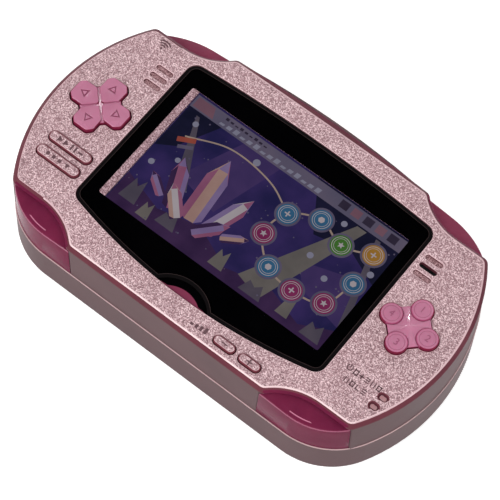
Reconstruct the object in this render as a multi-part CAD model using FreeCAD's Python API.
import FreeCAD, Part
import math
import os

# A wide handheld game console, built as separate pieces, in millimetres.
# +X runs along the long side, +Y points to the far long edge, +Z is up out of the screen.
# The outlines are drawn about the middle of the face, and every piece is then shifted by
# case_shift so that the origin lies under the centre of the whole case, on its base.

V = FreeCAD.Vector

# Face outline
end_apex_x = 84.0
end_radius = 66.6
long_edge_y = 45.9
corner_radius = 26.0
notch_line_y = 38.0
notch_bend_x = 60.0
notch_radius = 25.4
plate_bow = 0.3
chamfer_bow = 1.2
wall_bow = 2.4

# Heights of the three shells
rear_height = 18.0
frame_height = 17.8
plate_thickness = 2.2

# Shell walls
plate_chamfer = 1.5
frame_wall = 2.0
frame_flare = 0.4
notch_wall = 1.9
rear_lip = 0.4
rear_flare = 0.2
rear_wall = 2.2
rear_floor = 2.2
rear_round = 2.2
ledge_thickness = 2.0
ledge_root = 0.05

# Clearances, then how far cutting shapes run past a face, how deep joined shapes run into
# each other, how much deeper a screw hole is than its screw, and what counts as no length
fit_gap = 0.02
seat_gap = 0.1
trim_gap = 0.2
key_gap = 0.3
part_gap = 0.3
board_gap = 0.7
run_gap = 0.08
over = 1.0
root = 0.2
hole_spare = 0.5
tiny = 1e-6

# Screen glass, its recess and the opening under it
lens_half_x = 53.3
lens_top_y = 36.4
lens_top_apex_y = 38.7
lens_bottom_y = -30.3
lens_bottom_apex_y = -37.2
lens_corner_r = 4.2
lens_thickness = 1.0
lens_sink = 0.2
lens_bevel = 0.3
crescent_half_x = 11.0
crescent_top_y = -31.7
opening_left_x = -44.6
opening_right_x = 47.9
opening_bottom_y = -24.1
opening_top_y = 28.9

# Display stack under the face
gasket_thickness = 0.3
gasket_lap = 3.6
panel_margin = 4.6
panel_thickness = 3.0
cushion_width = 4.0
cushion_inset = 2.0
board_drop = 5.6
board_thickness = 1.6
ribbon_x = -10.0
ribbon_width = 20.0
ribbon_thickness = 0.25
ribbon_drop = 1.0
ribbon_reach = 2.5
connector_depth = 3.0
connector_height = 1.2
connector_y = -35.0
connector_rim = 1.0
gasket_frame = 0.4

# Cross pad
dpad_x = -67.8
dpad_y = 2.0
dpad_arm = 11.3
dpad_half_width = 4.3
dpad_tip_half = 2.7
dpad_tip_cut = 1.7
dpad_corner_r = 1.1
dpad_web_reach = 10.2
dpad_groove = 0.7
dpad_rise = 1.5
dpad_web_rise = 0.6
dpad_gap = 0.55
dpad_tilt_deg = 3.0
dpad_flange_r = 13.2
dpad_flange_thickness = 1.2
dpad_ball_r = 2.0
dpad_ball_drop = 1.8
dpad_leg_r = 1.6
dpad_leg_at = 7.2
dpad_leg_length = 0.6
star_r = 1.0
star_tip_r = 0.1
arrow_size = 1.7
arrow_depth = 0.25
arrow_inset = 0.77
arrow_back = 0.7
arrow_half = 1.05

# Four round buttons and the web between them
face_x = 66.75
face_y = 1.9
face_arm = 7.5
face_cap_r = 3.85
face_web_reach = 10.5
face_rise = 1.4
face_web_rise = 0.9
face_travel = 1.0
face_flange_lap = 0.75
face_flange_thickness = 1.0
face_stem_length = 0.8
face_scallop_gap = 0.15
face_cap_round = 0.45
face_web_round = 0.35
web_flange_r = 12.9
web_flange_thickness = 1.0

# Long keys
menu_x = -65.2
start_y = -17.4
select_y = -24.1
menu_length = 18.2
menu_width = 4.1
volume_y = -42.0
volume_down_x = 22.2
volume_up_x = 32.8
volume_length = 8.6
volume_width = 3.4
pill_rise = 1.0
pill_travel = 0.7
pill_flange_lap = 0.7
pill_flange_thickness = 0.9
pill_stem_r = 1.2
pill_stem_length = 1.3
pill_round = 0.3

# Rubber key sheets on the main board
membrane_thickness = 0.8
dome_foot = 0.8
dome_clear = 0.2
dpad_sheet_r = 12.4
face_sheet_r = 12.4
menu_sheet_margin = 1.2

# Slots, windows and speaker
slot_x = 59.0
slot_mid_y = 23.4
slot_pitch = 3.6
slot_length = 7.1
slot_width = 2.0
blind_depth = 0.8
window_length = 3.4
window_width = 2.4
window_sink = 0.35
window_1 = (74.3, -28.3)
window_2 = (75.0, -23.9)
pipe_r = 0.9
pipe_inset = 0.7
led_size = 1.6
led_height = 0.8
speaker_r = 6.2
speaker_height = 4.0
speaker_rim = 0.3
speaker_ring = 1.0
speaker_cone_r = 2.2
speaker_cone_depth = 1.2
speaker_contact_pitch = 6.0
speaker_contact_width = 2.0

# Shoulder buttons, near trim pieces and their pins
shoulder_lap = 0.1
shoulder_drop = 0.3
near_facet_deg = 14.0
far_facet_deg = 30.0
facet_round = 0.7
shoulder_pin_x = 47.2
shoulder_pin_y = 44.3
shoulder_pin_r = 1.2
shoulder_pin_rise = 11.0
shoulder_pin_depth = 3.6
shoulder_pin_boss_r = 2.6
shoulder_turn_deg = 1.6
plunger_x = 64.0
plunger_z_drop = 5.9
plunger_r = 1.4
plunger_hole_gap = 0.6
plunger_reach = 2.7
plunger_root = 2.0
switch_length = 6.0
switch_depth = 2.8
switch_height = 3.6
actuator_r = 0.9
actuator_length = 0.6
actuator_clear = 0.25

# Screws and posts
corner_post = (69.5, -31.5)
upper_post = (70.5, 29.0)
middle_far_post = (12.5, 40.5)
near_post_left = (-28.0, -41.4)
near_post_right = (8.0, -41.4)
boss_r = 3.0
post_r = 3.5
post_joint_z = 25.9
post_gap = 0.1
case_screw_r = 1.25
case_head_r = 2.5
case_head_height = 1.8
counterbore_depth = 3.6
cross_reach = 1.4
cross_half = 0.3
cross_depth = 0.9
case_screw_reach = 7.0
standoff_r = 2.1
standoff_spots = ((-55.5, -32.0), (57.0, -32.0), (-53.6, 33.2), (55.5, 33.4))
board_screw_r = 0.9
board_head_r = 1.9
board_head_height = 1.3
board_screw_reach = 3.0

# Battery bay
bay_length = 64.0
bay_width = 40.0
bay_y = 0.0
bay_wall = 1.2
cover_thickness = 1.8
cover_inset = 0.15
cover_lip = 1.6
battery_thickness = 17.5
cover_screw_x = 28.0
cover_head_depth = 1.0
cover_head_sink = 0.1
cover_slot_half = 0.25
cover_slot_depth = 0.3
cover_screw_short = 0.2
tab_half = 4.0
tab_height = 2.45
tab_clear = 1.0
battery_clear = 1.2
contact_x = -18.0
contact_pitch = 5.0
contact_width = 2.5
contact_length = 8.0

# Sockets and the power switch on the far edge
usb_x = 0.0
usb_width = 8.9
usb_height = 3.2
usb_depth = 7.4
usb_shell = 0.4
usb_tongue = 0.7
usb_corner_r = 1.2
usb_back = 1.5
usb_tongue_half = 3.2
usb_tongue_inset = 0.8
jack_x = 21.0
jack_width = 6.4
jack_height = 5.0
jack_depth = 11.0
jack_barrel_r = 2.4
jack_bore_r = 1.8
jack_bore_depth = 12.0
card_x = -26.0
card_width = 13.6
card_height = 1.9
card_depth = 14.0
card_mouth = 11.4
card_mouth_height = 0.9
card_back = 1.5
power_x = 32.0
power_width = 9.0
power_height = 3.4
power_depth = 4.4
power_knob_length = 4.0
power_knob_height = 2.0
power_knob_proud = 1.0
power_travel = 3.0
grip_half = 0.2
grip_depth = 0.4
grip_pitch = 1.0
socket_sink = 0.5
wall_cut_in = 5.0
wall_cut_out = 12.0

# Chips under the main board
shield_size = 24.0
shield_height = 2.2
shield_round = 1.0
chip_x = 30.0
chip_length = 12.0
chip_width = 18.0
chip_height = 1.2

# Derived levels
seam_z = rear_height
frame_top_z = seam_z + frame_height
top_z = frame_top_z + plate_thickness
recess_z = top_z - lens_sink - lens_thickness
panel_top_z = frame_top_z - gasket_thickness
panel_bottom_z = panel_top_z - panel_thickness
board_top_z = frame_top_z - board_drop
board_bottom_z = board_top_z - board_thickness
sheet_top_z = board_top_z + membrane_thickness
cover_top_z = cover_inset + cover_thickness

# Derived outline offsets, measured outward from the edge of the glitter face
frame_outer = plate_chamfer
frame_foot = plate_chamfer + frame_flare
frame_inner = plate_chamfer - frame_wall
rear_outer = frame_foot + rear_lip
rear_inner = rear_outer - rear_wall
shoulder_edge = plate_chamfer - shoulder_lap
case_shift = V(0, -wall_bow / 2.0, 0)
far = 2.0 * end_apex_x


# Room that the shoulder buttons need as they turn
shoulder_turn = math.sin(math.radians(shoulder_turn_deg))
end_centre_x = end_apex_x - end_radius
notch_end_x = end_centre_x + math.sqrt(end_radius ** 2 - notch_line_y ** 2)
notch_step = shoulder_edge - (notch_end_x - shoulder_pin_x) * shoulder_turn - trim_gap
notch_inner = notch_step - notch_wall


# Outline geometry


def corner_centre():
    """Centre of the corner arc that runs smoothly into the long edge and the end arc."""
    y = long_edge_y - corner_radius
    x = end_centre_x + math.sqrt((end_radius - corner_radius) ** 2 - y ** 2)
    return x, y


def on_circle(cx, cy, r, angle):
    return V(cx + r * math.cos(angle), cy + r * math.sin(angle), 0)


def mirror_x(p):
    return V(-p.x, p.y, 0)


def mirror_y(p):
    return V(p.x, -p.y, 0)


def arc(a, b, c):
    return Part.Arc(a, b, c).toShape()


def line(a, b):
    return Part.makeLine(a, b)


def edge_or_bow(a, b, bow):
    """Far long edge from a to b, bowed outward by bow at its middle."""
    if bow == 0:
        return line(a, b)
    return arc(a, V(0, a.y + bow, 0), b)


def notch_corners(offset, notch_offset):
    """Points of the upper right notch: at the end arc, at the bend, mid arc, at the long edge."""
    y1 = notch_line_y + notch_offset
    x1 = end_centre_x + math.sqrt((end_radius + offset) ** 2 - y1 ** 2)
    centre_y = notch_line_y + notch_radius
    r = notch_radius - notch_offset
    y2 = long_edge_y + offset
    x2 = notch_bend_x - math.sqrt(r ** 2 - (centre_y - y2) ** 2)
    end_angle = math.atan2(y2 - centre_y, x2 - notch_bend_x)
    if end_angle > 0:
        end_angle -= 2.0 * math.pi
    middle = on_circle(notch_bend_x, centre_y, r, (end_angle - math.pi / 2.0) / 2.0)
    return V(x1, y1, 0), V(notch_bend_x, y1, 0), middle, V(x2, y2, 0)


def notched_wire(offset, notch_offset, bow):
    """Closed outline with the four corner notches."""
    v1, bend, mid, v2 = notch_corners(offset, notch_offset)
    apex = V(end_centre_x + end_radius + offset, 0, 0)
    edges = [line(V(-v2.x, -v2.y, 0), mirror_y(v2)),
             arc(mirror_y(v2), mirror_y(mid), mirror_y(bend)),
             line(mirror_y(bend), mirror_y(v1)),
             arc(mirror_y(v1), apex, v1),
             line(v1, bend),
             arc(bend, mid, v2),
             edge_or_bow(v2, mirror_x(v2), bow),
             arc(mirror_x(v2), mirror_x(mid), mirror_x(bend)),
             line(mirror_x(bend), mirror_x(v1)),
             arc(mirror_x(v1), mirror_x(apex), -v1),
             line(-v1, -bend),
             arc(-bend, -mid, -v2)]
    return Part.Wire(edges)


def smooth_wire(offset, bow):
    """Closed outline with plain round corners, as the lower shell has."""
    cx, cy = corner_centre()
    turn = math.atan2(cy, cx - end_centre_x)
    r = corner_radius + offset
    top = V(cx, cy + r, 0)
    mid = on_circle(cx, cy, r, (turn + math.pi / 2.0) / 2.0)
    side = on_circle(cx, cy, r, turn)
    apex = V(end_centre_x + end_radius + offset, 0, 0)
    bow_x = notch_corners(0, 0)[3].x
    inner = V(bow_x, top.y, 0)
    edges = [line(-top, mirror_y(top)),
             arc(mirror_y(top), mirror_y(mid), mirror_y(side)),
             arc(mirror_y(side), apex, side),
             arc(side, mid, top),
             line(top, inner),
             edge_or_bow(inner, mirror_x(inner), bow),
             line(mirror_x(inner), mirror_x(top)),
             arc(mirror_x(top), mirror_x(mid), mirror_x(side)),
             arc(mirror_x(side), mirror_x(apex), -side),
             arc(-side, -mid, -top)]
    return Part.Wire(edges)


def raised(wire, z):
    lifted = wire.copy()
    lifted.translate(V(0, 0, z))
    return lifted


def prism(wire, z0, z1):
    return Part.Face(raised(wire, z0)).extrude(V(0, 0, z1 - z0))


def between(wire0, z0, wire1, z1):
    """Straight sided solid from one outline to another with as many edges."""
    return Part.makeLoft([raised(wire0, z0), raised(wire1, z1)], True, True)


def polygon(points):
    return Part.makePolygon([V(x, y, 0) for x, y in points] + [V(points[0][0], points[0][1], 0)])


def pill_wire(cx, cy, length, width):
    r = width / 2.0
    h = length / 2.0 - r
    a, b = V(cx - h, cy - r, 0), V(cx + h, cy - r, 0)
    c, d = V(cx + h, cy + r, 0), V(cx - h, cy + r, 0)
    edges = [line(a, b), arc(b, V(cx + h + r, cy, 0), c), line(c, d), arc(d, V(cx - h - r, cy, 0), a)]
    return Part.Wire(edges)


def box(x0, x1, y0, y1, z0, z1):
    return Part.makeBox(x1 - x0, y1 - y0, z1 - z0, V(x0, y0, z0))


def post(x, y, r, z0, z1):
    return Part.makeCylinder(r, z1 - z0, V(x, y, z0))


def bar_y(x, z, r, y0, y1):
    """Round bar along Y."""
    return Part.makeCylinder(r, y1 - y0, V(x, y0, z), V(0, 1, 0))


def fused(shapes):
    return shapes[0].multiFuse(shapes[1:]).removeSplitter()


def cut(shape, tools):
    return shape.cut(Part.makeCompound(tools)) if tools else shape


# Outlines of the controls, each grown outward by gap


def lobe_wire(gap, turn, root):
    """One arm of the cross pad, pointing along turn degrees, starting at root."""
    k = math.tan(math.radians(22.5)) * gap
    w = dpad_half_width + gap
    tip = dpad_arm + gap
    cut_u = dpad_arm - dpad_tip_cut + k
    tip_v = dpad_tip_half + k
    narrow = w + root
    points = [(root, 0), (narrow, w), (cut_u, w), (tip, tip_v), (tip, -tip_v), (cut_u, -w), (narrow, -w)]
    shape = polygon(points)
    shape.rotate(V(0, 0, 0), V(0, 0, 1), turn)
    shape.translate(V(dpad_x, dpad_y, 0))
    return shape


def lobe_prism(gap, turn, root, z0, z1):
    """One arm as a solid with round outer corners."""
    solid = prism(lobe_wire(gap, turn, root), z0, z1)
    pad = V(dpad_x, dpad_y, 0)
    corners = []
    for e in solid.Edges:
        upright = e.BoundBox.XLength + e.BoundBox.YLength < tiny
        p = e.valueAt(e.FirstParameter)
        if upright and V(p.x, p.y, 0).distanceToPoint(pad) > dpad_web_reach:
            corners.append(e)
    return solid.makeFillet(dpad_corner_r + gap, corners)


def diamond_wire(cx, cy, reach):
    return polygon([(cx + reach, cy), (cx, cy + reach), (cx - reach, cy), (cx, cy - reach)])


def dpad_prism(gap, z0, z1):
    """Whole cross pad outline as a solid."""
    arms = [lobe_prism(gap, turn, 0.0, z0, z1) for turn in (0, 90, 180, 270)]
    web = prism(diamond_wire(dpad_x, dpad_y, dpad_web_reach + gap * math.sqrt(2)), z0, z1)
    return fused(arms + [web])


def face_spots():
    return [(face_x, face_y + face_arm), (face_x + face_arm, face_y),
            (face_x, face_y - face_arm), (face_x - face_arm, face_y)]


def face_prism(gap, z0, z1):
    """Outline of the four discs and the web together as a solid."""
    discs = [post(x, y, face_cap_r + gap, z0, z1) for x, y in face_spots()]
    web = prism(diamond_wire(face_x, face_y, face_web_reach + gap * math.sqrt(2)), z0, z1)
    return fused(discs + [web])


def pill_spots():
    """Centre, length and width of the four long keys."""
    return {"start_button": (menu_x, start_y, menu_length, menu_width),
            "select_button": (menu_x, select_y, menu_length, menu_width),
            "volume_down_button": (volume_down_x, volume_y, volume_length, volume_width),
            "volume_up_button": (volume_up_x, volume_y, volume_length, volume_width)}


def lens_prism(gap, z0, z1, crescent):
    """Screen glass outline, grown by gap, with or without its finger notch."""
    x = lens_half_x + gap
    top, top_apex = lens_top_y + gap, lens_top_apex_y + gap
    low, low_apex = lens_bottom_y - gap, lens_bottom_apex_y - gap
    edges = [line(V(-x, top, 0), V(-x, low, 0)),
             arc(V(-x, low, 0), V(0, low_apex, 0), V(x, low, 0)),
             line(V(x, low, 0), V(x, top, 0)),
             arc(V(x, top, 0), V(0, top_apex, 0), V(-x, top, 0))]
    solid = prism(Part.Wire(edges), z0, z1)
    corners = [e for e in solid.Edges if e.BoundBox.XLength + e.BoundBox.YLength < tiny]
    solid = solid.makeFillet(lens_corner_r + gap, corners)
    if not crescent:
        return solid
    depth = crescent_top_y - lens_bottom_apex_y
    r = (crescent_half_x ** 2 + depth ** 2) / (2.0 * depth)
    return solid.cut(post(0, crescent_top_y - r, r, z0 - over, z1 + over))


def window_spots():
    return [window_1, window_2]


def slot_spots():
    ys = [slot_mid_y + k * slot_pitch for k in (-1, 0, 1)]
    return [(side * slot_x, y) for side in (-1, 1) for y in ys]


def screw_posts():
    spots = []
    for x, y in (corner_post, upper_post, middle_far_post):
        spots += [(-x, y), (x, y)]
    return spots + [near_post_left, near_post_right]


# Casing


def make_faceplate():
    upper = between(notched_wire(plate_chamfer, plate_chamfer, chamfer_bow), top_z - plate_chamfer,
                    notched_wire(0, 0, plate_bow), top_z)
    lower = prism(notched_wire(plate_chamfer, plate_chamfer, chamfer_bow), frame_top_z,
                  top_z - plate_chamfer)
    bosses = []
    for x, y in screw_posts():
        bosses.append(post(x, y, boss_r, post_joint_z + post_gap, frame_top_z))
    for x, y in standoff_spots:
        bosses.append(post(x, y, standoff_r, board_top_z, frame_top_z))
    plate = fused([upper, lower] + bosses)
    low, high = frame_top_z - over, top_z + over
    cuts = [lens_prism(trim_gap, recess_z, high, False),
            box(opening_left_x, opening_right_x, opening_bottom_y, opening_top_y, low, high),
            dpad_prism(dpad_gap, low, high),
            face_prism(key_gap, low, high)]
    for cx, cy, length, width in pill_spots().values():
        cuts.append(prism(pill_wire(cx, cy, length + 2 * key_gap, width + 2 * key_gap), low, high))
    for cx, cy in window_spots():
        cuts.append(prism(pill_wire(cx, cy, window_length, window_width), low, high))
    for x, y in slot_spots():
        through = x > 0 and y == slot_mid_y
        cuts.append(prism(pill_wire(x, y, slot_length, slot_width),
                          low if through else top_z - blind_depth, high))
    for x, y in screw_posts():
        tip = post_joint_z + case_screw_reach + hole_spare
        cuts.append(post(x, y, case_screw_r + fit_gap, post_joint_z, tip))
    for x, y in standoff_spots:
        tip = board_top_z + board_screw_reach + hole_spare
        cuts.append(post(x, y, board_screw_r + fit_gap, board_top_z - over, tip))
    return cut(plate, cuts)


def plunger_z():
    return frame_top_z - plunger_z_drop + plunger_r


def far_wall_y(x, z):
    """Outer face of the far side wall at a given place."""
    share = (frame_top_z - z) / frame_height
    half = notch_corners(0, 0)[3].x
    radius = (half ** 2 + wall_bow ** 2) / (2.0 * wall_bow)
    bow = wall_bow - (radius - math.sqrt(radius ** 2 - x ** 2))
    return long_edge_y + frame_outer + frame_flare * share + bow


def socket_z(height):
    """Middle height of a socket that hangs under the main board."""
    return board_bottom_z - height / 2.0


def make_middle_frame():
    outer = between(notched_wire(frame_foot, notch_step, wall_bow), seam_z,
                    notched_wire(frame_outer, notch_step, wall_bow), frame_top_z)
    inner = prism(notched_wire(frame_inner, notch_inner, wall_bow), seam_z - over, frame_top_z + over)
    cuts = [inner]
    g = part_gap
    y0, y1 = long_edge_y - wall_cut_in, long_edge_y + wall_cut_out
    z = socket_z(usb_height)
    cuts.append(box(usb_x - usb_width / 2 - g, usb_x + usb_width / 2 + g, y0, y1,
                    z - usb_height / 2 - g, z + usb_height / 2 + g))
    z = socket_z(card_height)
    cuts.append(box(card_x - card_width / 2 - g, card_x + card_width / 2 + g, y0, y1,
                    z - card_height / 2 - g, z + card_height / 2 + g))
    cuts.append(bar_y(jack_x, socket_z(jack_height), jack_barrel_r + g, y0, y1))
    z = socket_z(power_height)
    half = (power_knob_length + power_travel) / 2.0 + g
    cuts.append(box(power_x - half, power_x + half, y0, y1,
                    z - power_knob_height / 2 - g, z + power_knob_height / 2 + g))
    for sx in (-1, 1):
        for sy in (-1, 1):
            hole = bar_y(sx * plunger_x, plunger_z(), plunger_r + plunger_hole_gap,
                         notch_line_y + notch_inner - over, notch_line_y + notch_step + over)
            if sy < 0:
                hole = hole.mirror(V(0, 0, 0), V(0, 1, 0))
            cuts.append(hole)
    return cut(outer, cuts)


def corner_ledges():
    """Floors under the four corner pieces, level with the rim of the lower shell."""
    whole = prism(smooth_wire(rear_inner + ledge_root, wall_bow), seam_z - ledge_thickness, seam_z)
    middle = prism(notched_wire(wall_cut_out, notch_inner, 0),
                   seam_z - ledge_thickness - over, seam_z + over)
    return whole.cut(middle)


def bay_box(grow, z0, z1):
    return box(-bay_length / 2 - grow, bay_length / 2 + grow,
               bay_y - bay_width / 2 - grow, bay_y + bay_width / 2 + grow, z0, z1)


def make_rear_cover():
    foot = smooth_wire(rear_outer + rear_flare, wall_bow)
    shell = between(foot, 0, smooth_wire(rear_outer, wall_bow), seam_z)
    bottom = [e for e in shell.Edges if e.BoundBox.ZMax < tiny]
    shell = shell.makeFillet(rear_round, bottom)
    shell = shell.cut(prism(smooth_wire(rear_inner, wall_bow), rear_floor, seam_z + over))
    pieces = [shell, corner_ledges()]
    for x, y in screw_posts():
        pieces.append(post(x, y, post_r, rear_floor / 2, post_joint_z))
    for sx in (-1, 1):
        pieces.append(post(sx * shoulder_pin_x, shoulder_pin_y, shoulder_pin_boss_r,
                           rear_floor / 2, seam_z))
    bay = bay_box(bay_wall, rear_floor / 2, seam_z).cut(bay_box(0, 0, seam_z + over))
    tab = box(cover_screw_x - tab_half, bay_length / 2 + bay_wall, bay_y - tab_half, bay_y + tab_half,
              cover_top_z + seat_gap, cover_top_z + tab_height)
    shell = fused(pieces + [bay])
    cuts = [bay_box(0, -over, rear_floor + over),
            bay_box(cover_lip, -over, cover_inset + cover_thickness / 2 + seat_gap)]
    for x, y in screw_posts():
        cuts.append(post(x, y, case_head_r + key_gap, -over, counterbore_depth))
        cuts.append(post(x, y, case_screw_r + trim_gap, -over, post_joint_z + over))
    for sx in (-1, 1):
        cuts.append(post(sx * shoulder_pin_x, shoulder_pin_y, shoulder_pin_r + fit_gap,
                         seam_z - shoulder_pin_depth, seam_z + over))
    shell = cut(shell, cuts)
    shell = shell.fuse(tab).removeSplitter()
    hole = post(cover_screw_x, bay_y, board_screw_r + fit_gap, 0, cover_top_z + tab_height + over)
    return shell.cut(hole)


def make_battery_cover():
    step = cover_inset + cover_thickness / 2
    plate = bay_box(cover_lip - trim_gap, cover_inset, step)
    inner = bay_box(-trim_gap, step, cover_top_z)
    cover = fused([plate, inner])
    return cut(cover, [post(cover_screw_x, bay_y, board_screw_r + trim_gap, -over, cover_top_z + over),
                       post(cover_screw_x, bay_y, board_head_r + trim_gap, -over,
                            cover_inset + cover_head_depth)])


def make_battery_cover_screw():
    z0 = cover_inset + cover_head_sink
    head = post(cover_screw_x, bay_y, board_head_r, z0, cover_inset + cover_head_depth)
    shank = post(cover_screw_x, bay_y, board_screw_r, z0, cover_top_z + tab_height - cover_screw_short)
    slot = box(cover_screw_x - board_head_r, cover_screw_x + board_head_r,
               bay_y - cover_slot_half, bay_y + cover_slot_half, z0 - over, z0 + cover_slot_depth)
    return fused([head, shank]).cut(slot)


def make_case_screws():
    screws = []
    for x, y in screw_posts():
        head = post(x, y, case_head_r, counterbore_depth - case_head_height, counterbore_depth)
        shank = post(x, y, case_screw_r, counterbore_depth, post_joint_z + case_screw_reach)
        z0 = counterbore_depth - case_head_height
        a, b = cross_reach, cross_half
        cross = [box(x - a, x + a, y - b, y + b, z0 - over, z0 + cross_depth),
                 box(x - b, x + b, y - a, y + a, z0 - over, z0 + cross_depth)]
        screws.append(cut(fused([head, shank]), cross))
    return Part.makeCompound(screws)


# Corner pieces


def corner_piece(inner_edge, slope_deg):
    """Upper right translucent piece: filled notch with a sloping upper facet."""
    z0, z1 = seam_z + part_gap, frame_top_z - shoulder_drop
    body = between(smooth_wire(frame_foot, 0), seam_z, smooth_wire(frame_outer, 0), frame_top_z)
    body = body.common(box(0, far, 0, far, z0, z1))
    inside = prism(notched_wire(wall_cut_out, inner_edge, 0), z0 - over, z1 + over)
    body = body.cut(inside)
    v1, bend, mid, v2 = notch_corners(0, 0)
    along = v1 - v2
    outward = V(-along.y, along.x, 0).normalize()
    tilt = math.radians(slope_deg)
    normal = outward * math.sin(tilt) + V(0, 0, math.cos(tilt))
    hinge = V(bend.x, bend.y, z1)
    slab = Part.makeBox(far, far, far, V(-far / 2, -far / 2, 0))
    slab.Placement = FreeCAD.Placement(hinge, FreeCAD.Rotation(V(0, 0, 1), normal))
    body = body.cut(slab)
    ridge = [e for e in body.Edges if is_ridge(e, z0)]
    return body.makeFillet(facet_round, ridge)


def is_ridge(edge, z0):
    """True for the edges of the sloping facet on the outer side of the piece."""
    if edge.BoundBox.ZMin < z0 + frame_height / 3:
        return False
    p = edge.valueAt((edge.FirstParameter + edge.LastParameter) / 2.0)
    face = Part.Face(notched_wire(wall_cut_out, shoulder_edge + facet_round, 0))
    return not face.isInside(V(p.x, p.y, 0), fit_gap, True)


def flipped(shape, sx, sy):
    result = shape
    if sx < 0:
        result = result.mirror(V(0, 0, 0), V(1, 0, 0))
    if sy < 0:
        result = result.mirror(V(0, 0, 0), V(0, 1, 0))
    return result


def make_shoulder_button(sx):
    """Far corner piece that turns on an upright pin and pushes a switch."""
    piece = corner_piece(shoulder_edge, far_facet_deg)
    z = plunger_z()
    y_in = notch_line_y + shoulder_edge
    plunger = bar_y(plunger_x, z, plunger_r, y_in - plunger_reach, y_in + plunger_root)
    piece = fused([piece, plunger])
    bore = post(shoulder_pin_x, shoulder_pin_y, shoulder_pin_r + run_gap,
                seam_z, seam_z + shoulder_pin_rise + part_gap)
    return flipped(piece.cut(bore), sx, 1)


def make_corner_trim(sx):
    """Near corner piece, held by a peg in the frame wall."""
    piece = corner_piece(notch_step + trim_gap, near_facet_deg)
    y_in = notch_line_y + notch_step + trim_gap
    peg = bar_y(plunger_x, plunger_z(), plunger_r + plunger_hole_gap - fit_gap,
                y_in - notch_wall - trim_gap, y_in + plunger_root)
    return flipped(fused([piece, peg]), sx, -1)


def make_shoulder_pin(sx):
    return post(sx * shoulder_pin_x, shoulder_pin_y, shoulder_pin_r,
                seam_z - shoulder_pin_depth, seam_z + shoulder_pin_rise)


def make_shoulder_switch(sx):
    """Small push switch on the main board behind the plunger."""
    stroke = (plunger_x - shoulder_pin_x) * shoulder_turn
    tip_y = notch_line_y + shoulder_edge - plunger_reach - stroke - actuator_clear
    front = tip_y - actuator_length
    body = box(plunger_x - switch_length / 2, plunger_x + switch_length / 2,
               front - switch_depth, front, board_top_z, board_top_z + switch_height)
    actuator = bar_y(plunger_x, plunger_z(), actuator_r, front - root, tip_y)
    return flipped(fused([body, actuator]), sx, 1)


# Screen


def make_screen_lens():
    z1 = recess_z + lens_thickness
    glass = lens_prism(0, recess_z, z1, True)
    rim = [e for e in glass.Edges if e.BoundBox.ZMin > z1 - tiny]
    return glass.makeChamfer(lens_bevel, rim)


def opening_box(grow, z0, z1):
    return box(opening_left_x - grow, opening_right_x + grow,
               opening_bottom_y - grow, opening_top_y + grow, z0, z1)


def make_display_gasket():
    ring = opening_box(gasket_lap, panel_top_z, frame_top_z)
    return ring.cut(opening_box(gasket_frame, panel_top_z - over, frame_top_z + over))


def make_display_panel():
    return opening_box(panel_margin, panel_bottom_z, panel_top_z)


def make_display_cushion():
    grow = panel_margin - cushion_inset
    outer = opening_box(grow, board_top_z, panel_bottom_z)
    return outer.cut(opening_box(grow - cushion_width, board_top_z - over, panel_bottom_z + over))


def make_display_ribbon():
    """Flat cable from the near edge of the display, down to its socket on the board."""
    x0, x1 = ribbon_x - ribbon_width / 2, ribbon_x + ribbon_width / 2
    y0 = opening_bottom_y - panel_margin
    bend_y = y0 - ribbon_reach
    z_top = panel_bottom_z + ribbon_drop
    z_low = board_top_z + connector_height / 2
    t = ribbon_thickness
    upper = box(x0, x1, bend_y, y0, z_top - t, z_top)
    drop = box(x0, x1, bend_y, bend_y + t, z_low, z_top)
    foot = box(x0, x1, connector_y, bend_y + t, z_low, z_low + t)
    return fused([upper, drop, foot])


def make_ribbon_connector():
    half = ribbon_width / 2 + connector_rim
    return box(ribbon_x - half, ribbon_x + half, connector_y - connector_depth, connector_y,
               board_top_z, board_top_z + connector_height)


# Cross pad


def ball_centre():
    return V(dpad_x, dpad_y, frame_top_z - dpad_ball_drop)


def dpad_flange_top():
    lift = math.sqrt(2) * dpad_flange_r * math.sin(math.radians(dpad_tilt_deg))
    return frame_top_z - lift - trim_gap


def make_dpad():
    """One moulding: flange, cross, four raised lobes, centre star, arrows and legs."""
    top = dpad_flange_top()
    bottom = top - dpad_flange_thickness
    web_top = top_z + dpad_web_rise
    flange = post(dpad_x, dpad_y, dpad_flange_r, bottom, top)
    core = dpad_prism(0.0, top - root, web_top)
    pieces = [flange, core]
    for turn in (0, 90, 180, 270):
        lobe = lobe_prism(0.0, turn, dpad_groove, web_top - root, top_z + dpad_rise)
        rim = [e for e in lobe.Edges if e.BoundBox.ZMin > top_z + dpad_rise - tiny]
        pieces.append(lobe.makeFillet(dpad_groove / 2.0, rim))
        a = math.radians(turn)
        x, y = dpad_x + dpad_leg_at * math.cos(a), dpad_y + dpad_leg_at * math.sin(a)
        pieces.append(post(x, y, dpad_leg_r, bottom - dpad_leg_length, bottom + root))
    pieces.append(Part.makeCone(star_r, star_tip_r, dpad_rise - dpad_web_rise, V(dpad_x, dpad_y, web_top)))
    pad = fused(pieces)
    cuts = [Part.makeSphere(dpad_ball_r + run_gap, ball_centre()),
            post(dpad_x, dpad_y, dpad_ball_r + run_gap, bottom - over, ball_centre().z)]
    cuts += [arrow_mark(turn) for turn in (0, 90, 180, 270)]
    return cut(pad, cuts)


def arrow_mark(turn):
    """Shallow engraved triangle line on one lobe, pointing outward."""
    u = dpad_leg_at

    def triangle(s):
        back = u - s * arrow_back
        return polygon([(u + s, 0), (back, s * arrow_half), (back, -s * arrow_half)])

    z1 = top_z + dpad_rise
    mark = prism(triangle(arrow_size), z1 - arrow_depth, z1 + over)
    mark = mark.cut(prism(triangle(arrow_size - arrow_inset), z1 - over, z1 + 2 * over))
    mark.rotate(V(0, 0, 0), V(0, 0, 1), turn)
    mark.translate(V(dpad_x, dpad_y, 0))
    return mark


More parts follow.
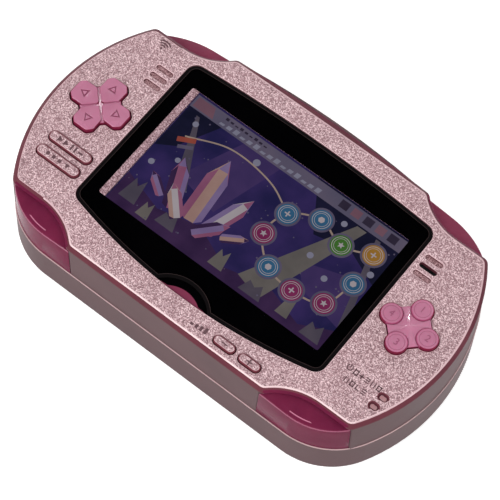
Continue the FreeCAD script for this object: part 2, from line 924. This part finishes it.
def make_dpad_pivot():
    return Part.makeSphere(dpad_ball_r, ball_centre())


def dome(x, y, r, z_top):
    """Rubber dome, a cone with a flat top."""
    return Part.makeCone(r + dome_foot, r, z_top - sheet_top_z, V(x, y, sheet_top_z))


def make_dpad_membrane():
    leg_end = dpad_flange_top() - dpad_flange_thickness - dpad_leg_length
    dip = (dpad_leg_at + dpad_leg_r) * math.sin(math.radians(dpad_tilt_deg))
    z_top = leg_end - dip - dome_clear
    pieces = [post(dpad_x, dpad_y, dpad_sheet_r, board_top_z, sheet_top_z)]
    for turn in (0, 90, 180, 270):
        a = math.radians(turn)
        x, y = dpad_x + dpad_leg_at * math.cos(a), dpad_y + dpad_leg_at * math.sin(a)
        pieces.append(dome(x, y, dpad_leg_r, z_top))
    seat_top = ball_centre().z - dpad_ball_r - seat_gap
    pieces.append(post(dpad_x, dpad_y, dpad_ball_r, board_top_z, seat_top))
    return fused(pieces)


# Round buttons


def web_flange_bottom():
    return frame_top_z - web_flange_thickness


def make_face_button_web():
    """Fixed cross shaped middle between the four caps, held by a flange under the face."""
    web = prism(diamond_wire(face_x, face_y, face_web_reach), web_flange_bottom(), top_z + face_web_rise)
    rim = [e for e in web.Edges if e.BoundBox.ZMin > top_z + face_web_rise - tiny]
    web = web.makeFillet(face_web_round, rim)
    flange = post(face_x, face_y, web_flange_r, web_flange_bottom(), frame_top_z)
    holes = [post(x, y, face_cap_r + face_scallop_gap, web_flange_bottom() - over, top_z + face_rise)
             for x, y in face_spots()]
    return cut(fused([flange, web]), holes)


def make_face_button(spot):
    """Round cap with rounded rim, a flange under the web and a stem."""
    x, y = spot
    top = top_z + face_rise
    z1 = web_flange_bottom() - seat_gap
    z0 = z1 - face_flange_thickness
    cap = post(x, y, face_cap_r, z1 - root, top)
    rim = [e for e in cap.Edges if e.BoundBox.ZMin > top - tiny]
    cap = cap.makeFillet(face_cap_round, rim)
    flange = post(x, y, face_cap_r + face_flange_lap, z0, z1)
    stem = post(x, y, pill_stem_r, z0 - face_stem_length, z0 + root)
    return fused([cap, flange, stem])


def make_face_membrane():
    stem_end = web_flange_bottom() - seat_gap - face_flange_thickness - face_stem_length
    z_top = stem_end - face_travel - dome_clear
    pieces = [post(face_x, face_y, face_sheet_r, board_top_z, sheet_top_z)]
    for x, y in face_spots():
        pieces.append(dome(x, y, pill_stem_r, z_top))
    return fused(pieces)


# Long keys


def make_pill(spot):
    """Long key with a flange under the face and a round stem."""
    cx, cy, length, width = spot
    top = top_z + pill_rise
    z1 = frame_top_z - seat_gap
    z0 = z1 - pill_flange_thickness
    cap = prism(pill_wire(cx, cy, length, width), z1 - root, top)
    rim = [e for e in cap.Edges if e.BoundBox.ZMin > top - tiny]
    cap = cap.makeFillet(pill_round, rim)
    lap = 2 * pill_flange_lap
    flange = prism(pill_wire(cx, cy, length + lap, width + lap), z0, z1)
    stem = post(cx, cy, pill_stem_r, z0 - pill_stem_length, z0 + root)
    return fused([cap, flange, stem])


def pill_dome_top():
    return frame_top_z - seat_gap - pill_flange_thickness - pill_stem_length - pill_travel - dome_clear


def make_menu_membrane():
    half = menu_width / 2 + menu_sheet_margin
    sheet = box(menu_x - menu_length / 2, menu_x + menu_length / 2,
                select_y - half, start_y + half, board_top_z, sheet_top_z)
    return fused([sheet, dome(menu_x, start_y, pill_stem_r, pill_dome_top()),
                  dome(menu_x, select_y, pill_stem_r, pill_dome_top())])


def make_volume_membrane():
    half = pill_stem_r + dome_foot
    sheet = box(volume_down_x - volume_length / 2, volume_up_x + volume_length / 2,
                volume_y - half, volume_y + half, board_top_z, sheet_top_z)
    return fused([sheet, dome(volume_down_x, volume_y, pill_stem_r, pill_dome_top()),
                  dome(volume_up_x, volume_y, pill_stem_r, pill_dome_top())])


# Electronics


def make_main_board():
    board = prism(notched_wire(frame_inner - board_gap, notch_inner - board_gap, 0),
                  board_bottom_z, board_top_z)
    low, high = board_bottom_z - over, board_top_z + over
    cuts = [post(x, y, boss_r + board_gap, low, high) for x, y in screw_posts()]
    cuts += [post(x, y, board_screw_r + trim_gap, low, high) for x, y in standoff_spots]
    return cut(board, cuts)


def make_board_screws():
    screws = []
    for x, y in standoff_spots:
        head = post(x, y, board_head_r, board_bottom_z - board_head_height, board_bottom_z)
        shank = post(x, y, board_screw_r, board_bottom_z, board_top_z + board_screw_reach)
        screws.append(fused([head, shank]))
    return Part.makeCompound(screws)


def make_processor_shield():
    h = shield_size / 2
    can = box(-h, h, -h, h, board_bottom_z - shield_height, board_bottom_z)
    rim = [e for e in can.Edges if e.BoundBox.ZLength > shield_height - tiny]
    return can.makeFillet(shield_round, rim)


def make_memory_chips():
    chips = []
    for sx in (-1, 1):
        chips.append(box(sx * chip_x - chip_length / 2, sx * chip_x + chip_length / 2,
                         -chip_width / 2, chip_width / 2, board_bottom_z - chip_height, board_bottom_z))
    return Part.makeCompound(chips)


def make_battery_pack():
    """Block that lies on the cover, notched round the tab that takes the cover's screw."""
    pack = bay_box(-battery_clear, cover_top_z, cover_top_z + battery_thickness)
    half = tab_half + tab_clear
    room = box(cover_screw_x - half, far, bay_y - half, bay_y + half, 0, cover_top_z + tab_height + part_gap)
    return pack.cut(room)


def make_battery_contacts():
    """Two spring strips from the battery up to the main board."""
    z0 = cover_top_z + battery_thickness
    h = contact_width / 2
    spots = [contact_x - contact_pitch / 2, contact_x + contact_pitch / 2]
    strips = [box(x - h, x + h, bay_y - contact_length / 2, bay_y + contact_length / 2, z0, board_bottom_z)
              for x in spots]
    return Part.makeCompound(strips)


def make_speaker():
    z1 = frame_top_z - speaker_rim
    z0 = z1 - speaker_height
    body = post(slot_x, slot_mid_y, speaker_r, z0, z1)
    inner_r = speaker_r - speaker_ring
    cone = Part.makeCone(speaker_cone_r, inner_r, speaker_cone_depth,
                         V(slot_x, slot_mid_y, z1 - speaker_cone_depth))
    rim = post(slot_x, slot_mid_y, speaker_r, z1, frame_top_z)
    rim = rim.cut(post(slot_x, slot_mid_y, inner_r, z1 - over, frame_top_z + over))
    return fused([body.cut(cone), rim])


def make_speaker_contacts():
    z1 = frame_top_z - speaker_rim - speaker_height
    h = speaker_contact_width / 2
    spots = [slot_x - speaker_contact_pitch / 2, slot_x + speaker_contact_pitch / 2]
    strips = [box(x - h, x + h, slot_mid_y - h, slot_mid_y + h, board_top_z, z1) for x in spots]
    return Part.makeCompound(strips)


def make_indicator_windows():
    """Two small oval windows, each with a light pipe down to its lamp."""
    solids = []
    for cx, cy in window_spots():
        oval = prism(pill_wire(cx, cy, window_length - 2 * fit_gap, window_width - 2 * fit_gap),
                     frame_top_z, top_z - window_sink)
        pipe = post(cx - pipe_inset, cy, pipe_r, board_top_z + led_height + seat_gap, frame_top_z + root)
        solids.append(fused([oval, pipe]))
    return Part.makeCompound(solids)


def make_indicator_leds():
    h = led_size / 2
    lamps = [box(cx - pipe_inset - h, cx - pipe_inset + h, cy - h, cy + h, board_top_z,
                 board_top_z + led_height) for cx, cy in window_spots()]
    return Part.makeCompound(lamps)


def make_usb_port():
    z = socket_z(usb_height)
    mouth = far_wall_y(usb_x, z) - socket_sink
    x0, x1 = usb_x - usb_width / 2, usb_x + usb_width / 2
    z0, z1 = z - usb_height / 2, z + usb_height / 2
    shell = box(x0, x1, mouth - usb_depth, mouth, z0, z1)
    corners = [e for e in shell.Edges if e.BoundBox.YLength > usb_depth - tiny]
    shell = shell.makeFillet(usb_corner_r, corners)
    hollow = box(x0 + usb_shell, x1 - usb_shell, mouth - usb_depth + usb_back, mouth + over,
                 z0 + usb_shell, z1 - usb_shell)
    tongue = box(usb_x - usb_tongue_half, usb_x + usb_tongue_half, mouth - usb_depth + usb_shell,
                 mouth - usb_tongue_inset, z - usb_tongue / 2, z + usb_tongue / 2)
    return fused([shell.cut(hollow), tongue])


def make_headphone_jack():
    z = socket_z(jack_height)
    mouth = far_wall_y(jack_x, z) - socket_sink
    y1 = long_edge_y + frame_inner - part_gap
    block = box(jack_x - jack_width / 2, jack_x + jack_width / 2, y1 - jack_depth, y1,
                z - jack_height / 2, z + jack_height / 2)
    barrel = bar_y(jack_x, z, jack_barrel_r, y1 - over, mouth)
    bore = bar_y(jack_x, z, jack_bore_r, mouth - jack_bore_depth, mouth + over)
    return fused([block, barrel]).cut(bore)


def make_card_slot():
    z = socket_z(card_height)
    mouth = far_wall_y(card_x, z) - socket_sink
    body = box(card_x - card_width / 2, card_x + card_width / 2, mouth - card_depth, mouth,
               z - card_height / 2, z + card_height / 2)
    gap = box(card_x - card_mouth / 2, card_x + card_mouth / 2, mouth - card_depth + card_back, mouth + over,
              z - card_mouth_height / 2, z + card_mouth_height / 2)
    return body.cut(gap)


def make_power_switch_base():
    z = socket_z(power_height)
    y1 = long_edge_y + frame_inner - part_gap
    return box(power_x - power_width / 2, power_x + power_width / 2, y1 - power_depth, y1,
               z - power_height / 2, z + power_height / 2)


def make_power_switch_knob():
    """Slider knob at the middle of its slot, with three grip ribs."""
    z = socket_z(power_height)
    y0 = long_edge_y + frame_inner - part_gap + seat_gap
    y1 = far_wall_y(power_x - power_knob_length, z) + power_knob_proud
    h = power_knob_height / 2
    knob = box(power_x - power_knob_length / 2, power_x + power_knob_length / 2, y0, y1, z - h, z + h)
    mids = [power_x + k * grip_pitch for k in (-1, 0, 1)]
    grooves = [box(x - grip_half, x + grip_half, y1 - grip_depth, y1 + over, z - h - over, z + h + over)
               for x in mids]
    return cut(knob, grooves)


def build():
    """All pieces by node name."""
    pills = pill_spots()
    nodes = {
        "faceplate": make_faceplate(),
        "middle_frame": make_middle_frame(),
        "rear_cover": make_rear_cover(),
        "battery_cover": make_battery_cover(),
        "battery_cover_screw": make_battery_cover_screw(),
        "case_screws": make_case_screws(),
        "left_corner_trim": make_corner_trim(-1),
        "right_corner_trim": make_corner_trim(1),
        "screen_lens": make_screen_lens(),
        "display_gasket": make_display_gasket(),
        "display_panel": make_display_panel(),
        "display_cushion": make_display_cushion(),
        "display_ribbon": make_display_ribbon(),
        "ribbon_connector": make_ribbon_connector(),
        "dpad": make_dpad(),
        "dpad_pivot": make_dpad_pivot(),
        "dpad_membrane": make_dpad_membrane(),
        "face_button_web": make_face_button_web(),
        "face_button_membrane": make_face_membrane(),
        "menu_membrane": make_menu_membrane(),
        "volume_membrane": make_volume_membrane(),
        "left_shoulder_button": make_shoulder_button(-1),
        "right_shoulder_button": make_shoulder_button(1),
        "left_shoulder_pin": make_shoulder_pin(-1),
        "right_shoulder_pin": make_shoulder_pin(1),
        "left_shoulder_switch": make_shoulder_switch(-1),
        "right_shoulder_switch": make_shoulder_switch(1),
        "main_board": make_main_board(),
        "board_screws": make_board_screws(),
        "processor_shield": make_processor_shield(),
        "memory_chips": make_memory_chips(),
        "battery_pack": make_battery_pack(),
        "battery_contacts": make_battery_contacts(),
        "speaker": make_speaker(),
        "speaker_contacts": make_speaker_contacts(),
        "indicator_windows": make_indicator_windows(),
        "indicator_leds": make_indicator_leds(),
        "usb_port": make_usb_port(),
        "headphone_jack": make_headphone_jack(),
        "card_slot": make_card_slot(),
        "power_switch_base": make_power_switch_base(),
        "power_switch_knob": make_power_switch_knob(),
    }
    for number, spot in enumerate(face_spots(), 1):
        nodes["face_button_%d" % number] = make_face_button(spot)
    for name, spot in pills.items():
        nodes[name] = make_pill(spot)
    return nodes


os.makedirs("parts", exist_ok=True)
for node, shape in build().items():
    shape.translate(case_shift)
    shape.exportStep("parts/" + node + ".step")
